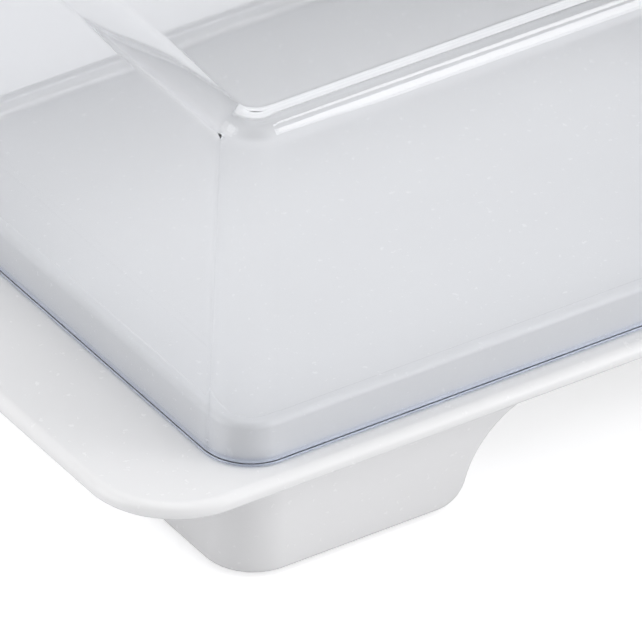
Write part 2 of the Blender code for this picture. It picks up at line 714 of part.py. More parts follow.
def make_cutter_blade():
    """A two-way blade that stands in the shoe's slit, with a slanted edge at each end."""
    low = RAIL_BOTTOM + GROOVE_FLOOR + GROOVE_HEIGHT + 0.5 * MM
    high = CUTTER_BOTTOM + 3.5 * MM
    half = BLADE_HALF_LENGTH
    outline = [(-half, low), (half, low), (half + BLADE_SLANT, high), (-half - BLADE_SLANT, high)]
    outline = [(CUTTER_PARK + x, z) for x, z in outline]
    start = RAIL_Y - BLADE_HALF_THICKNESS
    return prism("cutter_blade", outline, "Y", start, start + 2 * BLADE_HALF_THICKNESS)


def make_roller_bracket(name, side):
    """Hangs from the hood's ceiling and carries one end of the roller's shaft."""
    top = HOOD_CEILING - GAP
    half = GUIDE_RADIUS
    outline = [(GUIDE_Y + half, top), (GUIDE_Y - half, top)]
    outline += arc((GUIDE_Y, GUIDE_Z), half, 180, 360, 8)
    inner = side * (GUIDE_LENGTH / 2 + ROLLER_PLAY)
    outer = inner + side * ROLLER_BRACKET
    bracket = prism(name, outline, "X", min(inner, outer), max(inner, outer))
    bore = [(-THROUGH, SHAFT_RADIUS + GAP), (THROUGH, SHAFT_RADIUS + GAP)]
    return cut(bracket, turned("bore", "X", (inner, GUIDE_Y, GUIDE_Z), bore, 16))


def make_lift_tab():
    """A plate on the drafted front wall, with a shelf for the fingers."""
    low = FLANGE_TOP + TAB_FOOT
    high = FLANGE_TOP + TAB_HEIGHT
    inner = -HOOD_Y - GAP
    outer = inner - TAB_PLATE
    shelf = -TAB_REACH
    outline = [(inner + DRAFT * (low - FLANGE_TOP), low), (inner + DRAFT * (high - FLANGE_TOP), high)]
    outline += [(inner - MM, high + 0.6 * MM), (shelf + 1.5 * MM, high), (shelf, high - 1.2 * MM)]
    outline += [(shelf + MM, high - 2.4 * MM), (outer - MM, high - 2.6 * MM)]
    outline += [(outer, high - 4 * MM), (outer, low)]
    tab = prism("lift_tab", outline, "X", -TAB_WIDTH / 2, TAB_WIDTH / 2)
    for x, y, z in tab_rivet_places():
        cut(tab, hole("Y", (x, y, z), RIVET_HOLE))
    return tab


def build():
    clear_scene()
    white = make_material("white_moulding", (0.86, 0.86, 0.87), 0.22)
    clear = make_material("clear_hood", (0.90, 0.94, 0.98), 0.05, alpha=0.25)
    rubber = make_material("grey_rubber", (0.20, 0.20, 0.21), 0.8)
    silicone = make_material("silicone", (0.72, 0.76, 0.80), 0.5)
    steel = make_material("steel", (0.62, 0.62, 0.63), 0.3, metallic=1.0)
    card = make_material("card", (0.55, 0.42, 0.28), 0.9)
    film = make_material("wound_film", (0.80, 0.86, 0.88), 0.15)
    grey = make_material("grey_moulding", (0.45, 0.47, 0.50), 0.35)

    base = make_empty("base", (0, 0, 0))
    hood_pivot = make_empty("hood_pivot", (0, HINGE_Y, HINGE_Z), base)
    carriage = make_empty("cutter_carriage", (CUTTER_PARK, RAIL_Y, RAIL_TOP), hood_pivot)
    roll_axle = make_empty("roll_axle", (0, ROLL_Y, ROLL_Z), base)
    holder_track = make_empty("holder_track", (0, 0, DECK_TOP), base)

    set_piece(make_tray(), white, base, (0, 0, FLANGE_TOP))
    set_piece(make_base_frame(), white, base, (0, 0, PAD_REACH))
    corner_names = ["rear_right", "rear_left", "front_left", "front_right"]
    for name, (x, y) in zip(corner_names, corners(PAD_X, PAD_Y)):
        stations = [(0, PAD_RADIUS - 0.5 * MM), (0.4 * MM, PAD_RADIUS), (PAD_THICKNESS, PAD_RADIUS)]
        pad = turned("foot_pad_" + name, "Z", (x, y, 0), stations)
        set_piece(pad, rubber, base, (x, y, 0))
    for name, (x, y) in zip(corner_names, corners(BASE_SCREW_X, BASE_SCREW_Y)):
        bearing = (x, y, POST_SINK_TOP - GAP)
        set_piece(screw("base_screw_" + name, bearing, 16 * MM), steel, base, bearing)

    plate = ROLL_START - 0.5 * MM
    fixed = make_holder("roll_holder_fixed", plate, 1, DECK_TOP + GAP, DECK_TOP + 3.3 * MM)
    for index, (x, y) in enumerate(holder_screw_places()):
        cut(fixed, hole("Z", (x, y, DECK_TOP), SCREW_HOLE))
        bearing = (x, y, DECK_TOP + 3.6 * MM)
        piece = screw("holder_screw_" + ("front", "rear")[index], bearing, 7 * MM, up=-1)
        set_piece(piece, steel, base, bearing)
    set_piece(fixed, white, base, (plate, ROLL_Y, ROLL_Z))
    set_piece(make_hub("roll_hub_fixed", plate, 1), grey, base, (plate, ROLL_Y, ROLL_Z))

    plate = ROLL_START + CORE_LENGTH + 0.5 * MM
    sliding = make_holder("roll_holder_sliding", plate, -1, DECK_TOP + 1.8 * MM, DECK_TOP + 4.2 * MM)
    set_piece(sliding, white, holder_track, (plate, ROLL_Y, ROLL_Z))
    set_piece(make_hub("roll_hub_sliding", plate, -1), grey, holder_track, (plate, ROLL_Y, ROLL_Z))
    grip_low = (plate - HOLDER_FOOT + 5 * MM, -44 * MM, DECK_TOP + GAP)
    grip_high = (plate + MM, 44 * MM, DECK_TOP + 1.5 * MM)
    set_piece(box("holder_grip_pad", grip_low, grip_high), rubber, holder_track, (plate, 0, DECK_TOP))

    axis_place = (0, ROLL_Y, ROLL_Z)
    core = make_tube("roll_core", axis_place, ROLL_START, CORE_LENGTH, CORE_RADIUS, CORE_BORE, 32)
    set_piece(core, card, roll_axle, axis_place)
    film_start = ROLL_START + (CORE_LENGTH - FILM_LENGTH) / 2
    bore = CORE_RADIUS + GAP
    roll = make_tube("film_roll", axis_place, film_start, FILM_LENGTH, FILM_RADIUS, bore, 40)
    set_piece(roll, film, roll_axle, axis_place)

    set_piece(make_hood(), clear, hood_pivot, (0, 0, FLANGE_TOP))
    for side, name in ((-1, "left"), (1, "right")):
        middle = side * HINGE_SPACING / 2
        axis_point = (middle, HINGE_Y, HINGE_Z)
        set_piece(make_hinge_bracket("hinge_bracket_" + name, middle), grey, base, axis_point)
        set_piece(make_hinge_leaf("hinge_leaf_" + name, middle), grey, hood_pivot, axis_point)
        head = -HINGE_HALF - 0.4 * MM
        stations = [(head - 1.1 * MM, PIN_HEAD_RADIUS), (head, PIN_HEAD_RADIUS)]
        stations += [(head + 0.05 * MM, PIN_RADIUS), (PIN_REACH, PIN_RADIUS)]
        pin = turned("hinge_pin_" + name, "X", axis_point, stations, 16)
        set_piece(pin, steel, base, axis_point)
    pair_names = ["left_outer", "left_inner", "right_inner", "right_outer"]
    for name, (x, y) in zip(pair_names, bracket_screw_places()):
        bearing = (x, y, ARCH_UNDERSIDE - GAP - 2.3 * MM)
        set_piece(screw("bracket_screw_" + name, bearing, 7 * MM), steel, base, bearing)
    for name, place in zip(pair_names, leaf_rivet_places()):
        piece = rivet("leaf_rivet_" + name, place, (-2.9 * MM, 2.7 * MM))
        set_piece(piece, steel, hood_pivot, place)

    set_piece(make_rail(), white, hood_pivot, (0, RAIL_Y, RAIL_BOTTOM))
    set_piece(make_end_cap("rail_cap_left", -1), grey, hood_pivot, (-RAIL_LENGTH / 2, RAIL_Y, RAIL_BOTTOM))
    set_piece(make_end_cap("rail_cap_right", 1), grey, hood_pivot, (RAIL_LENGTH / 2, RAIL_Y, RAIL_BOTTOM))
    set_piece(make_strip("grip_strip_front", -STRIP_OFFSET), silicone, hood_pivot, (0, RAIL_Y, RAIL_TOP))
    set_piece(make_strip("grip_strip_rear", STRIP_OFFSET), silicone, hood_pivot, (0, RAIL_Y, RAIL_TOP))
    for name, x in zip(("left", "middle", "right"), rail_screw_places()):
        bearing = (x, RAIL_Y, HOOD_CEILING - GAP)
        set_piece(screw("rail_screw_" + name, bearing, 5.2 * MM), steel, hood_pivot, bearing)

    carriage_place = (CUTTER_PARK, RAIL_Y, RAIL_TOP)
    set_piece(make_cutter_body(), grey, carriage, carriage_place)
    set_piece(make_cutter_grip(), rubber, carriage, carriage_place)
    set_piece(make_cutter_shoe(), grey, carriage, carriage_place)
    set_piece(make_cutter_blade(), steel, carriage, carriage_place)

    guide_place = (0, GUIDE_Y, GUIDE_Z)
    half = GUIDE_LENGTH / 2
    roller = make_tube("guide_roller", guide_place, -half, GUIDE_LENGTH, GUIDE_RADIUS, SHAFT_RADIUS + GAP, 24)
    set_piece(roller, white, hood_pivot, guide_place)
    shaft_half = half + ROLLER_PLAY + ROLLER_BRACKET
    stations = [(-shaft_half, SHAFT_RADIUS), (shaft_half, SHAFT_RADIUS)]
    shaft = turned("roller_shaft", "X", guide_place, stations, 16)
    set_piece(shaft, steel, hood_pivot, guide_place)
    for side, name in ((-1, "left"), (1, "right")):
        bracket = make_roller_bracket("roller_bracket_" + name, side)
        set_piece(bracket, white, hood_pivot, (side * half, GUIDE_Y, GUIDE_Z))

    set_piece(make_lift_tab(), grey, hood_pivot, (0, -HOOD_Y, FLANGE_TOP))
    for name, place in zip(("left", "right"), tab_rivet_places()):
        piece = rivet("tab_rivet_" + name, place, (-2.7 * MM, 2.9 * MM))
        set_piece(piece, steel, hood_pivot, place)


build()
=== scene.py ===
import json
import math

import bmesh
import bpy
from mathutils import Matrix, Vector

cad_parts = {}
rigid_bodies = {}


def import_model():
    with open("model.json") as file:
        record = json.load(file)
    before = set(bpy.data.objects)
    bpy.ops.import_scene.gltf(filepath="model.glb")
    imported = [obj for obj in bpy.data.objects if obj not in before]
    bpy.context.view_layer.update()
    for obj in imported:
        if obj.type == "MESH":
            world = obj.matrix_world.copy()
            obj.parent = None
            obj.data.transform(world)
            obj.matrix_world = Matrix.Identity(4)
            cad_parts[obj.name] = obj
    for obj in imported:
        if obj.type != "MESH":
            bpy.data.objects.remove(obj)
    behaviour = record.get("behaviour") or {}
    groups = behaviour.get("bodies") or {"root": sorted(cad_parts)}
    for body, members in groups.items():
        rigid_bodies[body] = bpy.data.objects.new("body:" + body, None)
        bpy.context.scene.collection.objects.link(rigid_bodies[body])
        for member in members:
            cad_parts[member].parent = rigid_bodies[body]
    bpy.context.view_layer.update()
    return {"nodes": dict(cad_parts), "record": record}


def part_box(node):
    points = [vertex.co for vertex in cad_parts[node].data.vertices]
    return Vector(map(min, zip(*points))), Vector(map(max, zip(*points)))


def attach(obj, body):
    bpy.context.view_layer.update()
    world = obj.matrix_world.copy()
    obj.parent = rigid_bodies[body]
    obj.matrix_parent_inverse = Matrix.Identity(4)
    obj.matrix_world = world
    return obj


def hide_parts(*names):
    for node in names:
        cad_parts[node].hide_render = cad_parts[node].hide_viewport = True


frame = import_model()
mm = 0.001
print("frame loaded:", len(frame["nodes"]), "nodes")


# Handling tools

def pickUp(piece):
    if bpy.context.mode != "OBJECT":
        bpy.ops.object.mode_set(mode="OBJECT")
    for item in bpy.context.view_layer.objects:
        item.select_set(False)
    piece.select_set(True)
    bpy.context.view_layer.objects.active = piece
    return piece


def startEdit(piece):
    pickUp(piece)
    bpy.ops.object.mode_set(mode="EDIT")


def stopEdit():
    bpy.ops.object.mode_set(mode="OBJECT")


# Selects the points, edges or faces that pass a test, in edit mode
def choose(kind, test):
    bpy.ops.mesh.select_mode(type=kind)
    bpy.ops.mesh.select_all(action="DESELECT")
    editMesh = bmesh.from_edit_mesh(bpy.context.object.data)
    found = {"VERT": editMesh.verts, "EDGE": editMesh.edges, "FACE": editMesh.faces}[kind]
    for element in found:
        if test(element):
            element.select_set(True)
    bmesh.update_edit_mesh(bpy.context.object.data)


# A test for choose: every end of an edge or face lies at this height
def atHeight(height, slack=0.02 * mm):
    return lambda element: all(abs(vert.co.z - height) < slack for vert in element.verts)


# Puts an object's place, turn and scale into its mesh
def settle(piece, name):
    pickUp(piece)
    bpy.ops.object.transform_apply(location=True, rotation=True, scale=True)
    piece.name = name
    piece.data.name = name
    return piece


def addPlate(name, low, high, height):
    middle = ((low[0] + high[0]) / 2, (low[1] + high[1]) / 2, height)
    bpy.ops.mesh.primitive_plane_add(size=1, location=middle)
    bpy.context.object.scale = (high[0] - low[0], high[1] - low[1], 1)
    return settle(bpy.context.object, name)


def addBlock(name, low, high):
    low, high = Vector(low), Vector(high)
    bpy.ops.mesh.primitive_cube_add(size=1, location=(low + high) / 2)
    bpy.context.object.scale = high - low
    return settle(bpy.context.object, name)


def addRod(name, centre, radius, length, axis="Z", sides=32):
    turn = {"X": (0, math.pi / 2, 0), "Y": (math.pi / 2, 0, 0), "Z": (0, 0, 0)}[axis]
    bpy.ops.mesh.primitive_cylinder_add(vertices=sides, radius=radius, depth=length, location=centre,
                                        rotation=turn)
    return settle(bpy.context.object, name)


def useModifier(piece, kind, **settings):
    pickUp(piece)
    modifier = piece.modifiers.new(kind.title(), kind)
    for key, value in settings.items():
        setattr(modifier, key, value)
    bpy.ops.object.modifier_apply(modifier=modifier.name)
    return piece


# Joins a tool to a piece, or cuts it out, and throws the tool away
def joinWith(piece, tool, operation="UNION"):
    useModifier(piece, "BOOLEAN", object=tool, operation=operation, solver="EXACT")
    bpy.data.objects.remove(tool)
    return piece


def cutWith(piece, tool):
    return joinWith(piece, tool, "DIFFERENCE")


def roundCorners(radius, segments):
    bpy.ops.mesh.select_mode(type="VERT")
    bpy.ops.mesh.select_all(action="SELECT")
    bpy.ops.mesh.bevel(offset=radius, offset_type="OFFSET", segments=segments, affect="VERTICES",
                       clamp_overlap=False)


def roundEdges(width, segments):
    bpy.ops.mesh.bevel(offset=width, offset_type="OFFSET", segments=segments, profile=0.5,
                       clamp_overlap=False)


def faceOutwards():
    bpy.ops.mesh.select_all(action="SELECT")
    bpy.ops.mesh.normals_make_consistent(inside=False)


# Grows the sheet that is being edited into a solid
def extrudeAll(along):
    bpy.ops.mesh.select_all(action="SELECT")
    bpy.ops.mesh.extrude_region_move(TRANSFORM_OT_translate={"value": along})
    faceOutwards()


def smooth(piece, degrees=35):
    pickUp(piece)
    bpy.ops.object.shade_smooth_by_angle(angle=math.radians(degrees))
    return piece


# Gives a piece its finish and its body, and hides the CAD nodes that it stands for
def finishPiece(piece, material, slotName, body, *nodes):
    piece.data.materials.clear()
    piece.data.materials.append(material)
    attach(piece, body)
    if nodes:
        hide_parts(*nodes)
    return piece


def copyPiece(piece, name, offset):
    copy = piece.copy()
    copy.data = piece.data.copy()
    bpy.context.collection.objects.link(copy)
    copy.location = offset
    return settle(copy, name)


# A working copy of a CAD node, merged and with its flats joined up, ready to be shaped
def copyNode(node, name):
    copy = bpy.data.objects.new(name, frame["nodes"][node].data.copy())
    bpy.context.collection.objects.link(copy)
    startEdit(copy)
    bpy.ops.mesh.select_all(action="SELECT")
    bpy.ops.mesh.remove_doubles(threshold=0.002 * mm)
    bpy.ops.mesh.dissolve_limited(angle_limit=math.radians(1.5))
    bpy.ops.mesh.customdata_custom_splitnormals_clear()
    stopEdit()
    return copy


# Breaks every sharp edge of a working copy with a small moulded radius
def softenEdges(piece, width, segments=3, degrees=40):
    useModifier(piece, "BEVEL", width=width, segments=segments, limit_method="ANGLE",
                angle_limit=math.radians(degrees), use_clamp_overlap=True, harden_normals=False)
    useModifier(piece, "WEIGHTED_NORMAL", keep_sharp=False, weight=80)
    return piece


def middleOf(node):
    low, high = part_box(node)
    return (low + high) / 2


# Finishes

def newMaterial(name, colour, roughness, **sockets):
    material = bpy.data.materials.new(name)
    material.use_nodes = True
    shader = material.node_tree.nodes["Principled BSDF"]
    shader.inputs["Base Color"].default_value = (*colour, 1)
    shader.inputs["Roughness"].default_value = roughness
    for socket, value in sockets.items():
        shader.inputs[socket.replace("_", " ")].default_value = value
    return material


def addNode(material, kind, **settings):
    node = material.node_tree.nodes.new(kind)
    for key, value in settings.items():
        if key in node.bl_rna.properties:
            setattr(node, key, value)
        else:
            node.inputs[key.replace("_", " ")].default_value = value
    return node


def join(material, source, target):
    material.node_tree.links.new(source, target)


def shaderOf(material):
    return material.node_tree.nodes["Principled BSDF"]


# Object coordinates, stretched along some axes
def placeOn(material, stretch=(1, 1, 1), shift=(0, 0, 0)):
    place = addNode(material, "ShaderNodeTexCoord")
    mapping = addNode(material, "ShaderNodeMapping", Scale=stretch, Location=shift)
    join(material, place.outputs["Object"], mapping.inputs["Vector"])
    return mapping.outputs["Vector"]


def noiseOn(material, vector, scale, detail=3):
    noise = addNode(material, "ShaderNodeTexNoise", Scale=scale, Detail=detail, Roughness=0.55)
    join(material, vector, noise.inputs["Vector"])
    return noise.outputs["Fac"]


# A value that runs from low to high as the source runs from start to end
def rangeOf(material, source, low, high, start=0.0, end=1.0):
    spread = addNode(material, "ShaderNodeMapRange")
    for socket, value in zip(("From Min", "From Max", "To Min", "To Max"), (start, end, low, high)):
        spread.inputs[socket].default_value = value
    join(material, source, spread.inputs["Value"])
    return spread.outputs["Result"]


def varyRoughness(material, source, low, high):
    join(material, rangeOf(material, source, low, high), shaderOf(material).inputs["Roughness"])


def varyColour(material, source, first, second, start=0.2, end=0.8):
    mix = addNode(material, "ShaderNodeMix", data_type="RGBA")
    join(material, rangeOf(material, source, 0, 1, start, end), mix.inputs[0])
    colourSockets = [socket for socket in mix.inputs if socket.type == "RGBA"]
    colourSockets[0].default_value = (*first, 1)
    colourSockets[1].default_value = (*second, 1)
    colourOut = [socket for socket in mix.outputs if socket.type == "RGBA"][0]
    join(material, colourOut, shaderOf(material).inputs["Base Color"])


# Adds relief; a second call stacks on the first
def addBump(material, source, depth, strength=1.0):
    bump = addNode(material, "ShaderNodeBump", Strength=strength, Distance=depth)
    normal = shaderOf(material).inputs["Normal"]
    if normal.links:
        join(material, normal.links[0].from_socket, bump.inputs["Normal"])
    join(material, source, bump.inputs["Height"])
    join(material, bump.outputs["Normal"], normal)


def makeWhiteMoulding():
    look = {"bright": (0.82, 0.82, 0.828), "dull": (0.812, 0.812, 0.821), "grain": 0.0015 * mm}
    material = newMaterial("glossyWhiteMoulding", look["bright"], 0.26, IOR=1.5)
    varyColour(material, noiseOn(material, placeOn(material), 420, 4), look["dull"], look["bright"], 0, 1)
    varyRoughness(material, noiseOn(material, placeOn(material), 700, 3), 0.22, 0.30)
    addBump(material, noiseOn(material, placeOn(material), 1400, 1), look["grain"], 0.3)
    return material


def makeClearHood():
    # The rim colour in this look is painted shade: a deeper blue for the hood's cut rim, standing in for
    # light absorbed along its edge
    look = {"tint": (0.46, 0.66, 1.0), "depth": 15.0, "ior": 1.5, "letThrough": 0.66,
            "rimPaintedShade": (0.74, 0.80, 0.94), "rim": 1.2 * mm}
    material = newMaterial("clearHoodMoulding", (1, 1, 1), 0.03, IOR=look["ior"], Transmission_Weight=1.0)
    varyRoughness(material, noiseOn(material, placeOn(material), 500, 3), 0.02, 0.035)
    paintRimShade(material, look)
    letLampsThrough(material, look["letThrough"])
    body = addNode(material, "ShaderNodeVolumeAbsorption", Color=(*look["tint"], 1), Density=look["depth"])
    join(material, body.outputs["Volume"], material.node_tree.nodes["Material Output"].inputs["Volume"])
    return material


# The moulding is really tinted blue; the deeper blue painted on the cut rim under the walls is painted shade,
# standing in for light absorbed along the long path through the edge
def paintRimShade(material, look):
    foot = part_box("hood")[0].z
    split = addNode(material, "ShaderNodeSeparateXYZ")
    join(material, placeOn(material), split.inputs["Vector"])
    # Painted shade: the lowest band of the shell is blended towards the rim's painted blue
    rim = rangeOf(material, split.outputs["Z"], 1, 0, foot + 0.2 * look["rim"], foot + look["rim"])
    varyColour(material, rim, (1, 1, 1), look["rimPaintedShade"], 0, 1)


# Lamps reach what stands under the hood: their shadow rays pass its walls, dimmed
def letLampsThrough(material, share):
    path = addNode(material, "ShaderNodeLightPath")
    clear = addNode(material, "ShaderNodeBsdfTransparent", Color=(share, share, share, 1))
    choice = addNode(material, "ShaderNodeMixShader")
    join(material, path.outputs["Is Shadow Ray"], choice.inputs[0])
    join(material, shaderOf(material).outputs["BSDF"], choice.inputs[1])
    join(material, clear.outputs["BSDF"], choice.inputs[2])
    join(material, choice.outputs["Shader"], material.node_tree.nodes["Material Output"].inputs["Surface"])


def makeGreyMoulding():
    look = {"bright": (0.40, 0.42, 0.45), "dull": (0.36, 0.38, 0.41), "grain": 0.02 * mm}
    material = newMaterial("satinGreyMoulding", look["bright"], 0.4)
    varyColour(material, noiseOn(material, placeOn(material), 70), look["dull"], look["bright"])
    varyRoughness(material, noiseOn(material, placeOn(material), 500), 0.34, 0.48)
    addBump(material, noiseOn(material, placeOn(material), 1900, 2), look["grain"], 0.5)
    return material


def makeRubber():
    look = {"bright": (0.065, 0.066, 0.07), "dull": (0.045, 0.046, 0.05), "grain": 0.04 * mm}
    material = newMaterial("mattGreyRubber", look["bright"], 0.75)
    varyColour(material, noiseOn(material, placeOn(material), 220), look["dull"], look["bright"])
    varyRoughness(material, noiseOn(material, placeOn(material), 340), 0.66, 0.85)
    addBump(material, noiseOn(material, placeOn(material), 2400, 3), look["grain"], 0.5)
    return material


def makeSilicone():
    look = {"bright": (0.70, 0.75, 0.80), "dull": (0.64, 0.69, 0.74), "depth": 0.8 * mm}
    material = newMaterial("tackySilicone", look["bright"], 0.4, Subsurface_Weight=0.25,
                           Subsurface_Scale=look["depth"])
    varyColour(material, noiseOn(material, placeOn(material), 110), look["dull"], look["bright"])
    varyRoughness(material, noiseOn(material, placeOn(material), 300), 0.32, 0.5)
    addBump(material, noiseOn(material, placeOn(material), 800, 2), 0.02 * mm, 0.4)
    return material


# Fine lines that run along X, as on drawn rod and rolled strip
def makeSteel():
    look = {"bright": (0.66, 0.66, 0.67), "dull": (0.56, 0.56, 0.575)}
    material = newMaterial("satinStainlessSteel", look["bright"], 0.28, Metallic=1.0)
    lines = noiseOn(material, placeOn(material, (40, 1500, 1500)), 1, 4)
    varyColour(material, lines, look["dull"], look["bright"])
    varyRoughness(material, lines, 0.20, 0.36)
    addBump(material, lines, 0.006 * mm, 0.5)
    return material


# Wound card: a spiral joint round the tube and the pressed fibres of the paper
def makeCard():
    look = {"bright": (0.50, 0.38, 0.25), "dull": (0.40, 0.30, 0.19), "jointPitch": 95 * mm}
    material = newMaterial("woundCard", look["bright"], 0.85)
    fibres = noiseOn(material, placeOn(material, (260, 900, 900)), 1, 5)
    varyColour(material, fibres, look["dull"], look["bright"])
    varyRoughness(material, fibres, 0.76, 0.92)
    middle = middleOf("roll_core")
    turned = placeOn(material, shift=(0, -middle.y, -middle.z))
    split = addNode(material, "ShaderNodeSeparateXYZ")
    join(material, turned, split.inputs["Vector"])
    angle = addNode(material, "ShaderNodeMath", operation="ARCTAN2")
    join(material, split.outputs["Y"], angle.inputs[0])
    join(material, split.outputs["Z"], angle.inputs[1])
    turns = addNode(material, "ShaderNodeMath", operation="DIVIDE")
    join(material, angle.outputs[0], turns.inputs[0])
    turns.inputs[1].default_value = 2 * math.pi
    along = addNode(material, "ShaderNodeMath", operation="DIVIDE")
    join(material, split.outputs["X"], along.inputs[0])
    along.inputs[1].default_value = look["jointPitch"]
    spiral = addNode(material, "ShaderNodeMath", operation="ADD")
    join(material, turns.outputs[0], spiral.inputs[0])
    join(material, along.outputs[0], spiral.inputs[1])
    saw = addNode(material, "ShaderNodeMath", operation="PINGPONG")
    join(material, spiral.outputs[0], saw.inputs[0])
    saw.inputs[1].default_value = 0.5
    addBump(material, rangeOf(material, saw.outputs[0], 0, 1, 0, 0.012), 0.2 * mm, 0.8)
    addBump(material, fibres, 0.05 * mm, 0.5)
    return material


# Tightly wound film: rings on its ends, and bands and fine creases on its face
def makeWoundFilm():
    look = {"bright": (0.80, 0.87, 0.90), "dull": (0.70, 0.79, 0.84), "ringPitch": 0.55 * mm}
    material = newMaterial("woundClingFilm", look["bright"], 0.16, Coat_Weight=0.5, Coat_Roughness=0.08,
                           Subsurface_Weight=0.15, Subsurface_Scale=3 * mm)
    middle = middleOf("film_roll")
    centred = placeOn(material, shift=(0, -middle.y, -middle.z))
    bands = noiseOn(material, placeOn(material, (120, 2.5, 2.5)), 1, 4)
    creases = noiseOn(material, placeOn(material, (30, 420, 420)), 1, 3)
    rings = addNode(material, "ShaderNodeTexWave", wave_type="RINGS", rings_direction="X",
                    Scale=math.pi / (20 * look["ringPitch"]), Distortion=0.35, Detail=2.0)
    join(material, centred, rings.inputs["Vector"])
    varyColour(material, bands, look["dull"], look["bright"])
    varyRoughness(material, bands, 0.10, 0.24)
    addBump(material, bands, 0.06 * mm, 0.6)
    addBump(material, creases, 0.02 * mm, 0.35)
    addBump(material, rings.outputs["Fac"], 0.05 * mm, 0.5)
    return material


whiteMoulding = makeWhiteMoulding()
clearHood = makeClearHood()
greyMoulding = makeGreyMoulding()
rubber = makeRubber()
silicone = makeSilicone()
steel = makeSteel()
card = makeCard()
woundFilm = makeWoundFilm()
print("finishes made")


# Hood: a drafted shell with a rounded top edge, a film slot, and holes for its screws and rivets.
# The tray's lip has the same draft, and its corners lie inside the hood's
mouldDraft = math.tan(math.radians(1.35))
hoodCorner = 9.9 * mm


def makeHood():
    hoodPlan = {"topEdge": 5.5 * mm, "wall": 2.2 * mm, "rimEdge": 0.35 * mm, "slotLength": 458 * mm,
                "slotWidth": 6 * mm, "slotCut": 8 * mm, "screwHole": 1.9 * mm, "screwCut": 12 * mm,
                "rivetHole": 1.6 * mm, "rivetCut": 9 * mm}
    low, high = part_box("hood")
    height = high.z - low.z
    hood = addPlate("hoodShell", low, high, low.z)
    startEdit(hood)
    roundCorners(hoodCorner, 20)
    bpy.ops.mesh.select_all(action="SELECT")
    bpy.ops.mesh.inset(thickness=mouldDraft * height, depth=height, use_boundary=True, use_even_offset=True)
    choose("EDGE", atHeight(high.z))
    roundEdges(hoodPlan["topEdge"], 10)
    stopEdit()
    useModifier(hood, "SOLIDIFY", thickness=hoodPlan["wall"], offset=-1, use_even_offset=True, use_rim=True)
    startEdit(hood)
    choose("EDGE", lambda edge: len(edge.link_faces) == 2 and edge.calc_face_angle(0) > math.radians(60)
           and all(vert.co.z < low.z + 0.2 * mm for vert in edge.verts))
    roundEdges(hoodPlan["rimEdge"], 4)
    stopEdit()
    slotLow, slotHigh = openingBox("film_slot")
    middle = (slotLow + slotHigh) / 2
    halfSlot = Vector((hoodPlan["slotLength"] / 2, hoodPlan["slotWidth"] / 2))
    slot = addPlate("slotCutter", (-halfSlot.x, middle.y - halfSlot.y), (halfSlot.x, middle.y + halfSlot.y),
                    high.z - hoodPlan["slotCut"])
    startEdit(slot)
    roundCorners(halfSlot.y - 0.01 * mm, 8)
    extrudeAll((0, 0, 2 * hoodPlan["slotCut"]))
    stopEdit()
    cutWith(hood, slot)
    for node in nodesNamed("rail_screw"):
        place = middleOf(node)
        holeMiddle = (place.x, place.y, high.z)
        cutWith(hood, addRod("hole", holeMiddle, hoodPlan["screwHole"], hoodPlan["screwCut"], "Z", 24))
    for node in nodesNamed("leaf_rivet") + nodesNamed("tab_rivet"):
        cutWith(hood, addRod("hole", middleOf(node), hoodPlan["rivetHole"], hoodPlan["rivetCut"], "Y", 24))
    useModifier(hood, "WEIGHTED_NORMAL", keep_sharp=True, weight=70)
    return smoothFaces(hood, 42)


# Shades a shell smooth but keeps its cut edges sharp, and lets its flats stay flat
def smoothFaces(piece, degrees):
    smooth(piece, degrees)
    return useModifier(piece, "WEIGHTED_NORMAL", keep_sharp=True, weight=70)


def nodesNamed(start):
    return sorted(name for name in frame["nodes"] if name.startswith(start))


def openingBox(name):
    for opening in frame["record"]["physics"]["openings"]:
        if opening["name"] == name:
            return Vector(opening["box_m"][0]), Vector(opening["box_m"][1])


finishPiece(makeHood(), clearHood, "clear_hood", "hood", "hood")
print("hood made")


# Tray: a flange with a rounded rim, and a lip that stands up inside the hood round a sunk deck

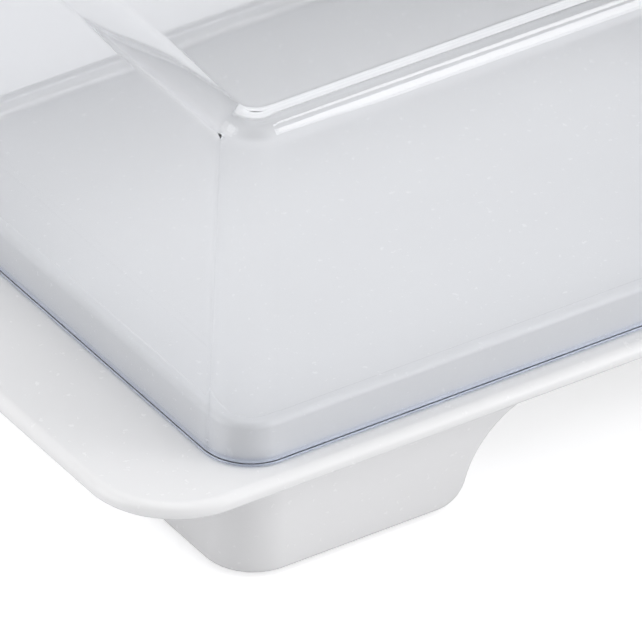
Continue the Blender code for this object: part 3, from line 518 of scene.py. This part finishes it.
def makeTray():
    trayPlan = {"corner": 17.5 * mm, "flange": 3.0 * mm, "rimTop": 1.9 * mm, "rimUnder": 0.8 * mm,
                "lipInset": 2.7 * mm, "lipHeight": 8.0 * mm, "lipWidth": 2.6 * mm, "lipTop": 1.2 * mm,
                "lipInner": 0.5 * mm, "lipSunk": 1 * mm, "deckDrop": 3.0 * mm, "deckFillet": 1.2 * mm,
                "deckSlope": 0.05 * mm, "underside": 2.5 * mm, "lipRoot": 0.45 * mm, "pocketGap": 0.2 * mm,
                "pocketCorner": 7.2 * mm, "pocketCut": 2 * mm, "boss": 4.5 * mm, "bossLength": 9 * mm,
                "bossSunk": 0.5 * mm, "bossHole": 2.0 * mm, "bossCut": 10.6 * mm, "holderHole": 1.8 * mm,
                "holderCut": 9 * mm}
    low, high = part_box("tray")
    hoodLow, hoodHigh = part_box("hood")
    flangeTop = high.z - trayPlan["lipHeight"]
    deckTop = high.z - trayPlan["deckDrop"]
    tray = addPlate("trayMoulding", low, high, flangeTop - trayPlan["flange"])
    startEdit(tray)
    roundCorners(trayPlan["corner"], 24)
    extrudeAll((0, 0, trayPlan["flange"]))
    choose("EDGE", atHeight(flangeTop))
    roundEdges(trayPlan["rimTop"], 8)
    choose("EDGE", atHeight(flangeTop - trayPlan["flange"]))
    roundEdges(trayPlan["rimUnder"], 4)
    stopEdit()

    inset = Vector((trayPlan["lipInset"], trayPlan["lipInset"], 0))
    start = flangeTop - trayPlan["lipSunk"]
    lip = addPlate("lipBlock", hoodLow + inset, hoodHigh - inset, start)
    startEdit(lip)
    roundCorners(hoodCorner - trayPlan["lipInset"], 16)
    bpy.ops.mesh.select_all(action="SELECT")
    bpy.ops.mesh.inset(thickness=mouldDraft * (high.z - start), depth=high.z - start, use_boundary=True,
                       use_even_offset=True)
    bpy.ops.mesh.inset(thickness=trayPlan["lipWidth"], depth=0, use_boundary=True, use_even_offset=True)
    bpy.ops.mesh.inset(thickness=trayPlan["deckSlope"], depth=-trayPlan["deckDrop"], use_boundary=True,
                       use_even_offset=True)
    choose("EDGE", atHeight(deckTop))
    roundEdges(trayPlan["deckFillet"], 5)
    choose("EDGE", lambda edge: atHeight(high.z)(edge) and edge.calc_face_angle(0) > math.radians(60)
           and not any(face.normal.z < -0.5 for face in edge.link_faces)
           and onOutline(edge, hoodHigh, trayPlan["lipInset"] + mouldDraft * trayPlan["lipHeight"]))
    roundEdges(trayPlan["lipTop"], 7)
    choose("EDGE", lambda edge: atHeight(high.z)(edge) and edge.calc_face_angle(0) > math.radians(60))
    roundEdges(trayPlan["lipInner"], 4)
    choose("EDGE", lambda edge: edge.is_boundary)
    bpy.ops.mesh.edge_face_add()
    faceOutwards()
    stopEdit()
    joinWith(tray, lip)

    startEdit(tray)
    choose("EDGE", lambda edge: atHeight(flangeTop)(edge) and edge.calc_face_angle(0) > math.radians(60))
    roundEdges(trayPlan["lipRoot"], 3)
    stopEdit()

    wall = trayPlan["lipInset"] + trayPlan["lipWidth"] + trayPlan["pocketGap"]
    hollow = Vector((wall, wall, 0))
    pocket = addPlate("pocketCutter", hoodLow + hollow, hoodHigh - hollow, low.z - trayPlan["pocketCut"])
    startEdit(pocket)
    roundCorners(trayPlan["pocketCorner"], 12)
    extrudeAll((0, 0, deckTop - trayPlan["underside"] - low.z + trayPlan["pocketCut"]))
    stopEdit()
    cutWith(tray, pocket)
    for node in nodesNamed("base_screw"):
        place = middleOf(node)
        bossTop = deckTop - trayPlan["underside"] + trayPlan["bossSunk"]
        bossMiddle = (place.x, place.y, bossTop - trayPlan["bossLength"] / 2)
        joinWith(tray, addRod("boss", bossMiddle, trayPlan["boss"], trayPlan["bossLength"], "Z", 32))
        holeMiddle = (place.x, place.y, bossTop - trayPlan["bossSunk"] - trayPlan["bossLength"] / 2)
        cutWith(tray, addRod("hole", holeMiddle, trayPlan["bossHole"], trayPlan["bossCut"], "Z", 24))
    for node in nodesNamed("holder_screw"):
        place = middleOf(node)
        holeMiddle = (place.x, place.y, deckTop)
        cutWith(tray, addRod("hole", holeMiddle, trayPlan["holderHole"], trayPlan["holderCut"], "Z", 24))
    return smoothFaces(tray, 42)


# True where an edge lies on the rounded outline drawn in from the hood's foot by an inset
def onOutline(edge, corner, inset):
    slack = 0.3 * mm
    radius = hoodCorner - inset
    for vert in edge.verts:
        acrossX = abs(vert.co.x) - (corner.x - inset - radius)
        acrossY = abs(vert.co.y) - (corner.y - inset - radius)
        reach = math.hypot(max(acrossX, 0), max(acrossY, 0)) if max(acrossX, acrossY) > 0 else 0
        if abs(reach - radius) > slack:
            return False
    return True


finishPiece(makeTray(), whiteMoulding, "white_moulding", "base", "tray")
print("tray made")


# Base frame: the side view is drawn with straight runs and spins, then carried across its depth

def makeBaseFrame():
    framePlan = {"flat": 43 * mm, "toe": 6 * mm, "swing": math.radians(75), "arch": 18 * mm,
                 "corner": 10 * mm, "wall": 2.2 * mm, "bottomEdge": 0.9 * mm, "post": 5.5 * mm,
                 "postMiddle": 11 * mm, "postLength": 18 * mm, "postHole": 1.9 * mm, "postCut": 24 * mm,
                 "sink": 4.0 * mm, "sinkMiddle": 5.5 * mm, "sinkCut": 14 * mm, "padSeat": 7.3 * mm,
                 "seatMiddle": 0.5 * mm, "seatCut": 3 * mm, "bracketHole": 1.9 * mm,
                 "bracketMiddle": 20 * mm, "bracketCut": 9 * mm}
    low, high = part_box("base_frame")
    toe = Vector((high.x - framePlan["flat"], 0, low.z + framePlan["toe"]))
    toeRise = framePlan["toe"] * (1 - math.cos(framePlan["swing"]))
    archRadius = (framePlan["arch"] - toeRise) / (1 - math.cos(framePlan["swing"]))
    reach = (framePlan["toe"] + archRadius) * math.sin(framePlan["swing"])
    arch = Vector((toe.x - reach, 0, low.z + framePlan["arch"] - archRadius))
    bpy.ops.mesh.primitive_plane_add(size=1, location=(0, 0, 0))
    body = settle(bpy.context.object, "frameMoulding")
    startEdit(body)
    bpy.ops.mesh.select_all(action="SELECT")
    bpy.ops.mesh.merge(type="CENTER")
    bpy.ops.mesh.select_all(action="SELECT")
    bpy.ops.transform.translate(value=(high.x, low.y, high.z))
    bpy.ops.mesh.extrude_region_move(TRANSFORM_OT_translate={"value": (0, 0, low.z - high.z)})
    bpy.ops.mesh.extrude_region_move(TRANSFORM_OT_translate={"value": (-framePlan["flat"], 0, 0)})
    bpy.ops.mesh.spin(steps=10, angle=-framePlan["swing"], center=toe + Vector((0, low.y, 0)), axis=(0, 1, 0))
    bpy.ops.mesh.spin(steps=16, angle=framePlan["swing"], center=arch + Vector((0, low.y, 0)), axis=(0, 1, 0))
    bpy.ops.mesh.extrude_region_move(TRANSFORM_OT_translate={"value": (-arch.x, 0, 0)})
    archWall = high.z - low.z - framePlan["arch"]
    bpy.ops.mesh.extrude_region_move(TRANSFORM_OT_translate={"value": (0, 0, archWall)})
    bpy.ops.mesh.select_all(action="SELECT")
    bpy.ops.mesh.edge_face_add()
    extrudeAll((0, high.y - low.y, 0))
    choose("EDGE", lambda edge: all(vert.co.x > high.x - 0.1 * mm for vert in edge.verts)
           and abs(edge.verts[0].co.z - edge.verts[1].co.z) > 5 * mm)
    roundEdges(framePlan["corner"], 16)
    choose("FACE", lambda face: all(vert.co.x < 0.1 * mm for vert in face.verts))
    bpy.ops.mesh.delete(type="FACE")
    stopEdit()
    useModifier(body, "MIRROR", use_axis=(True, False, False), merge_threshold=0.01 * mm, use_clip=True)
    startEdit(body)
    faceOutwards()
    choose("EDGE", lambda edge: edge.calc_face_angle(0) > math.radians(50)
           and not all(vert.co.z > high.z - 0.05 * mm for vert in edge.verts))
    roundEdges(framePlan["bottomEdge"], 5)
    choose("FACE", lambda face: face.normal.z > 0.9 and face.calc_center_median().z > high.z - 0.05 * mm)
    bpy.ops.mesh.delete(type="FACE")
    stopEdit()
    useModifier(body, "SOLIDIFY", thickness=framePlan["wall"], offset=-1, use_even_offset=True, use_rim=True)
    for node in nodesNamed("base_screw"):
        place = middleOf(node)
        postMiddle = (place.x, place.y, framePlan["postMiddle"])
        joinWith(body, addRod("post", postMiddle, framePlan["post"], framePlan["postLength"], "Z", 40))
        cutWith(body, addRod("hole", postMiddle, framePlan["postHole"], framePlan["postCut"], "Z", 24))
        sinkMiddle = (place.x, place.y, framePlan["sinkMiddle"])
        cutWith(body, addRod("sink", sinkMiddle, framePlan["sink"], framePlan["sinkCut"], "Z", 40))
    for node in nodesNamed("foot_pad"):
        place = middleOf(node)
        seatMiddle = (place.x, place.y, framePlan["seatMiddle"])
        cutWith(body, addRod("seat", seatMiddle, framePlan["padSeat"], framePlan["seatCut"], "Z", 48))
    for node in nodesNamed("bracket_screw"):
        place = middleOf(node)
        holeMiddle = (place.x, place.y, framePlan["bracketMiddle"])
        cutWith(body, addRod("hole", holeMiddle, framePlan["bracketHole"], framePlan["bracketCut"], "Z", 24))
    return smoothFaces(body, 42)


finishPiece(makeBaseFrame(), whiteMoulding, "white_moulding", "base", "base_frame")
print("base frame made")


# Foot pads: domed rubber discs with a turned groove

def makePads():
    padPlan = {"edge": 0.45 * mm, "groove": 0.35 * mm, "grooveInset": 2.2 * mm, "grooveWidth": 0.7 * mm,
               "grooveSlope": 0.1 * mm}
    nodes = nodesNamed("foot_pad")
    low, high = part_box(nodes[0])
    middle = (low + high) / 2
    pad = addRod("padPattern", middle, (high.x - low.x) / 2, high.z - low.z, "Z", 48)
    startEdit(pad)
    choose("FACE", lambda face: face.normal.z < -0.9)
    bpy.ops.mesh.inset(thickness=padPlan["grooveInset"])
    bpy.ops.mesh.inset(thickness=padPlan["grooveSlope"], depth=-padPlan["groove"])
    bpy.ops.mesh.inset(thickness=padPlan["grooveWidth"])
    bpy.ops.mesh.inset(thickness=padPlan["grooveSlope"], depth=padPlan["groove"])
    choose("EDGE", lambda edge: edge.calc_face_angle(0) > math.radians(60)
           and all(math.hypot(vert.co.x - middle.x, vert.co.y - middle.y) > (high.x - low.x) / 2 - 0.05 * mm
                   for vert in edge.verts))
    roundEdges(padPlan["edge"], 4)
    stopEdit()
    smoothFaces(pad, 42)
    for node in nodes:
        piece = copyPiece(pad, "rubber_" + node, middleOf(node) - middle)
        finishPiece(piece, rubber, "grey_rubber", "base", node)
    bpy.data.objects.remove(pad)


makePads()


# Pan-head screws with a cross recess, modelled once with the head downwards

screwPlan = {"head": 2.7 * mm, "headHeight": 2.0 * mm, "dome": 0.9 * mm, "shank": 1.4 * mm,
             "recess": 3.0 * mm, "recessWidth": 0.75 * mm, "recessDepth": 1.1 * mm, "point": 0.7 * mm,
             "firstTurn": 12, "nextTurn": 35}


def makeScrew(length):
    screw = addRod("screwPattern", (0, 0, -screwPlan["headHeight"] / 2), screwPlan["head"],
                   screwPlan["headHeight"], "Z", 40)
    startEdit(screw)
    choose("EDGE", atHeight(-screwPlan["headHeight"]))
    roundEdges(screwPlan["dome"], 6)
    stopEdit()
    shank = addRod("shank", (0, 0, length / 2 - 0.1 * mm), screwPlan["shank"], length + 0.2 * mm, "Z", 24)
    startEdit(shank)
    choose("EDGE", atHeight(length))
    roundEdges(screwPlan["point"], 3)
    stopEdit()
    joinWith(screw, shank)
    across, deep = screwPlan["recess"] / 2, screwPlan["recessWidth"] / 2
    under = -screwPlan["headHeight"]
    for reachX, reachY in ((across, deep), (deep, across)):
        recessTop = under + screwPlan["recessDepth"]
        cutWith(screw, addBlock("recess", (-reachX, -reachY, under - 1 * mm), (reachX, reachY, recessTop)))
    return smoothFaces(screw, 42)


def placeScrews(start, body, headUp=False):
    for number, node in enumerate(nodesNamed(start)):
        low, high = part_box(node)
        screw = makeScrew(high.z - low.z - screwPlan["headHeight"])
        if headUp:
            screw.rotation_euler = (math.pi, 0, 0)
        screw.rotation_euler.z = math.radians(screwPlan["nextTurn"] * number + screwPlan["firstTurn"])
        bearing = high.z - screwPlan["headHeight"] if headUp else low.z + screwPlan["headHeight"]
        screw.location = ((low.x + high.x) / 2, (low.y + high.y) / 2, bearing)
        finishPiece(settle(screw, "steel_" + node), steel, "steel", body, node)


placeScrews("base_screw", "base")
placeScrews("bracket_screw", "base")
placeScrews("holder_screw", "base", headUp=True)
placeScrews("rail_screw", "hood")


# Rivets with a low dome at each end, along Y

def makeRivets():
    rivetPlan = {"head": 2.2 * mm, "headHeight": 0.8 * mm, "dome": 0.55 * mm, "shank": 1.2 * mm}
    for node in nodesNamed("leaf_rivet") + nodesNamed("tab_rivet"):
        low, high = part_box(node)
        middle = (low + high) / 2
        rivet = addRod("steel_" + node, middle, rivetPlan["shank"], high.y - low.y - 0.4 * mm, "Y", 24)
        for side in (-1, 1):
            face = high.y if side > 0 else low.y
            centre = (middle.x, face - side * rivetPlan["headHeight"] / 2, middle.z)
            head = addRod("head", centre, rivetPlan["head"], rivetPlan["headHeight"], "Y", 32)
            startEdit(head)
            choose("EDGE", lambda edge: all(abs(vert.co.y - face) < 0.02 * mm for vert in edge.verts))
            roundEdges(rivetPlan["dome"], 5)
            stopEdit()
            joinWith(rivet, head)
        finishPiece(smoothFaces(rivet, 42), steel, "steel", "hood", node)


makeRivets()
print("pads, screws and rivets made")


# Moulded and turned pieces whose CAD shape is right get their edges broken

def refineNodes():
    plans = [
        ("roll_holder_fixed", 0.6, whiteMoulding, "white_moulding", "base"),
        ("roll_holder_sliding", 0.6, whiteMoulding, "white_moulding", "sliding_holder"),
        ("roll_hub_fixed", 0.5, greyMoulding, "grey_moulding", "base"),
        ("roll_hub_sliding", 0.5, greyMoulding, "grey_moulding", "sliding_holder"),
        ("hinge_bracket_left", 0.35, greyMoulding, "grey_moulding", "base"),
        ("hinge_bracket_right", 0.35, greyMoulding, "grey_moulding", "base"),
        ("hinge_leaf_left", 0.35, greyMoulding, "grey_moulding", "hood"),
        ("hinge_leaf_right", 0.35, greyMoulding, "grey_moulding", "hood"),
        ("hinge_pin_left", 0.3, steel, "steel", "base"),
        ("hinge_pin_right", 0.3, steel, "steel", "base"),
        ("cutter_rail", 0.4, whiteMoulding, "white_moulding", "hood"),
        ("rail_cap_left", 0.6, greyMoulding, "grey_moulding", "hood"),
        ("rail_cap_right", 0.6, greyMoulding, "grey_moulding", "hood"),
        ("grip_strip_front", 0.2, silicone, "silicone", "hood"),
        ("grip_strip_rear", 0.2, silicone, "silicone", "hood"),
        ("cutter_grip", 0.3, rubber, "grey_rubber", "cutter"),
        ("cutter_shoe", 0.25, greyMoulding, "grey_moulding", "cutter"),
        ("roller_bracket_left", 0.4, whiteMoulding, "white_moulding", "hood"),
        ("roller_bracket_right", 0.4, whiteMoulding, "white_moulding", "hood"),
        ("roller_shaft", 0.3, steel, "steel", "hood"),
        ("guide_roller", 0.5, whiteMoulding, "white_moulding", "guide"),
        ("lift_tab", 0.45, greyMoulding, "grey_moulding", "hood"),
        ("holder_grip_pad", 0.3, rubber, "grey_rubber", "sliding_holder")]
    for node, width, material, slotName, body in plans:
        piece = softenEdges(copyNode(node, "fine_" + node), width * mm)
        smooth(piece, 50)
        finishPiece(piece, material, slotName, body, node)


refineNodes()
frame["nodes"]["cutter_blade"].data.materials.clear()
frame["nodes"]["cutter_blade"].data.materials.append(steel)


# Cutter body: soft edges, and grip lines moulded into its two long sides

def makeCutterBody():
    bodyPlan = {"edge": 0.8 * mm, "lineRadius": 0.7 * mm, "lineOut": 0.2 * mm, "lineDrop": 0.6 * mm,
                "lineHeight": 5 * mm, "linePitch": 2.4 * mm, "lines": 7}
    low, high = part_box("cutter_body")
    middle = (low + high) / 2
    body = softenEdges(copyNode("cutter_body", "fine_cutter_body"), bodyPlan["edge"], 4)
    for side in (-1, 1):
        face = high.y if side > 0 else low.y
        for number in range(bodyPlan["lines"]):
            along = middle.x + (number - (bodyPlan["lines"] - 1) / 2) * bodyPlan["linePitch"]
            place = (along, face + side * bodyPlan["lineOut"], middle.z - bodyPlan["lineDrop"])
            cutWith(body, addRod("gripLine", place, bodyPlan["lineRadius"], bodyPlan["lineHeight"], "Z", 16))
    return smooth(body, 40)


finishPiece(makeCutterBody(), greyMoulding, "grey_moulding", "cutter", "cutter_body")
print("moulded pieces refined")


# Core and film: the film's outer turn ends in a straight step along the roll

def makeCore():
    corePlan = {"edge": 0.4 * mm, "bore": 15 * mm}
    low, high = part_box("roll_core")
    middle = (low + high) / 2
    core = addRod("wound_card_core", middle, (high.z - low.z) / 2, high.x - low.x, "X", 96)
    cutWith(core, addRod("bore", middle, corePlan["bore"], high.x - low.x + 4 * mm, "X", 96))
    startEdit(core)
    choose("EDGE", lambda edge: edge.calc_face_angle(0) > math.radians(60))
    roundEdges(corePlan["edge"], 3)
    stopEdit()
    return smoothFaces(core, 42)


def makeFilm():
    filmPlan = {"bore": 17.3 * mm, "step": 0.3 * mm, "slack": 0.02 * mm, "edge": 0.35 * mm, "sides": 160,
                "endAngle": math.radians(128)}
    low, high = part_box("film_roll")
    middle = (low + high) / 2
    radius = (high.z - low.z) / 2
    film = addRod("wound_film", middle, radius, high.x - low.x, "X", filmPlan["sides"])
    startEdit(film)
    editMesh = bmesh.from_edit_mesh(film.data)
    for vert in editMesh.verts:
        out = Vector((0, vert.co.y - middle.y, vert.co.z - middle.z))
        turn = (math.atan2(out.z, out.y) - filmPlan["endAngle"]) % (2 * math.pi)
        slope = min(turn / (2 * math.pi), 1)
        out.length = radius - filmPlan["step"] * (1 - slope) - filmPlan["slack"]
        vert.co = (vert.co.x, middle.y + out.y, middle.z + out.z)
    bmesh.update_edit_mesh(film.data)
    stopEdit()
    cutWith(film, addRod("bore", middle, filmPlan["bore"], high.x - low.x + 4 * mm, "X", 96))
    startEdit(film)
    choose("EDGE", lambda edge: edge.calc_face_angle(0) > math.radians(60)
           and abs(edge.verts[0].co.x - edge.verts[1].co.x) < 0.1 * mm)
    roundEdges(filmPlan["edge"], 3)
    stopEdit()
    return smoothFaces(film, 25)


finishPiece(makeCore(), card, "card", "roll", "roll_core")
finishPiece(makeFilm(), woundFilm, "wound_film", "roll", "film_roll")
print("core and film made")


# Camera, floor and studio light

def makeCamera():
    cameraPlan = {"azimuth": math.radians(145.53), "elevation": math.radians(34.47),
                  "roll": math.radians(1.22), "distance": 3.0, "lens": 965.4, "across": 15.21 * mm,
                  "above": 27.94 * mm, "lipHeight": 8 * mm}
    azimuth, elevation, roll = cameraPlan["azimuth"], cameraPlan["elevation"], cameraPlan["roll"]
    back = Vector((math.sin(azimuth) * math.cos(elevation), -math.cos(azimuth) * math.cos(elevation),
                   math.sin(elevation)))
    level = Vector((math.cos(azimuth), math.sin(azimuth), 0))
    upright = back.cross(level)
    right = level * math.cos(roll) + upright * math.sin(roll)
    up = upright * math.cos(roll) - level * math.sin(roll)
    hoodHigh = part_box("hood")[1]
    corner = Vector((hoodHigh.x, hoodHigh.y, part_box("tray")[1].z - cameraPlan["lipHeight"]))
    aim = corner + right * cameraPlan["across"] + up * cameraPlan["above"]
    data = bpy.data.cameras.new("closeCamera")
    data.sensor_width = 36
    data.lens = cameraPlan["lens"]
    data.clip_start = 0.1
    data.clip_end = 60
    camera = bpy.data.objects.new("closeCamera", data)
    bpy.context.collection.objects.link(camera)
    turn = Matrix((right, up, back)).transposed().to_4x4()
    camera.matrix_world = Matrix.Translation(aim + back * cameraPlan["distance"]) @ turn
    bpy.context.scene.camera = camera


def makeFloor():
    floor = addPlate("paleFloor", (-30, -30), (30, 30), -0.2 * mm)
    look = {"bright": (0.78, 0.78, 0.79), "dull": (0.77, 0.77, 0.78), "lift": 0.6}
    material = newMaterial("paleFloor", look["bright"], 0.7, Emission_Color=(1, 1, 1, 1))
    shaderOf(material).inputs["Specular IOR Level"].default_value = 0.1
    varyColour(material, noiseOn(material, placeOn(material), 3), look["dull"], look["bright"])
    varyRoughness(material, noiseOn(material, placeOn(material), 20), 0.65, 0.8)
    floor.data.materials.append(material)
    # Only what the camera sees of the floor directly is lifted to white
    path = addNode(material, "ShaderNodeLightPath")
    lift = rangeOf(material, path.outputs["Is Camera Ray"], 0, look["lift"])
    join(material, lift, shaderOf(material).inputs["Emission Strength"])


def addSoftbox(name, place, size, power):
    data = bpy.data.lights.new(name, "AREA")
    data.shape = "RECTANGLE"
    data.size = size[0]
    data.size_y = size[1]
    data.energy = power
    softbox = bpy.data.objects.new(name, data)
    bpy.context.collection.objects.link(softbox)
    softbox.location = place
    aim = Vector((0, 0, 0.05)) - Vector(place)
    softbox.rotation_euler = aim.to_track_quat("-Z", "Y").to_euler()
    softbox.visible_camera = False


# The room is white, and dark round the direction of the rear right corner
def shadeTheRoom(world, background):
    roomPlan = {"bright": 0.88, "dim": 0.0, "towards": (0.60, 0.78, 0.05), "dimFrom": 0.62, "dimTo": 0.98}
    tree = world.node_tree
    place = tree.nodes.new("ShaderNodeTexCoord")
    facing = tree.nodes.new("ShaderNodeVectorMath")
    facing.operation = "DOT_PRODUCT"
    facing.inputs[1].default_value = Vector(roomPlan["towards"]).normalized()
    spread = tree.nodes.new("ShaderNodeMapRange")
    spread.interpolation_type = "SMOOTHSTEP"
    for socket, value in (("From Min", roomPlan["dimFrom"]), ("From Max", roomPlan["dimTo"]),
                          ("To Min", roomPlan["bright"]), ("To Max", roomPlan["dim"])):
        spread.inputs[socket].default_value = value
    tree.links.new(place.outputs["Generated"], facing.inputs[0])
    tree.links.new(facing.outputs["Value"], spread.inputs["Value"])
    tree.links.new(spread.outputs["Result"], background.inputs["Color"])


def makeLight():
    world = bpy.data.worlds.new("studio")
    world.use_nodes = True
    background = world.node_tree.nodes["Background"]
    background.inputs["Strength"].default_value = 1.0
    shadeTheRoom(world, background)
    bpy.context.scene.world = world
    addSoftbox("softboxAbove", (0.0, -0.1, 1.7), (1.8, 1.6), 8)
    addSoftbox("softboxRight", (1.6, -0.35, 0.5), (0.9, 0.9), 4.5)
    addSoftbox("softboxRear", (-1.0, 1.4, 0.5), (0.9, 0.9), 9.5)
    addSoftbox("softboxEdge", (-0.93, 1.13, 1.40), (0.45, 0.45), 3)
    bpy.context.scene.view_settings.view_transform = "Standard"
    bpy.context.scene.view_settings.look = "None"
    bpy.context.scene.cycles.max_bounces = 24  # light turns many times inside the hood's edges
    bpy.context.scene.cycles.transmission_bounces = 24


makeCamera()
makeFloor()
makeLight()
print("camera, floor and light set")
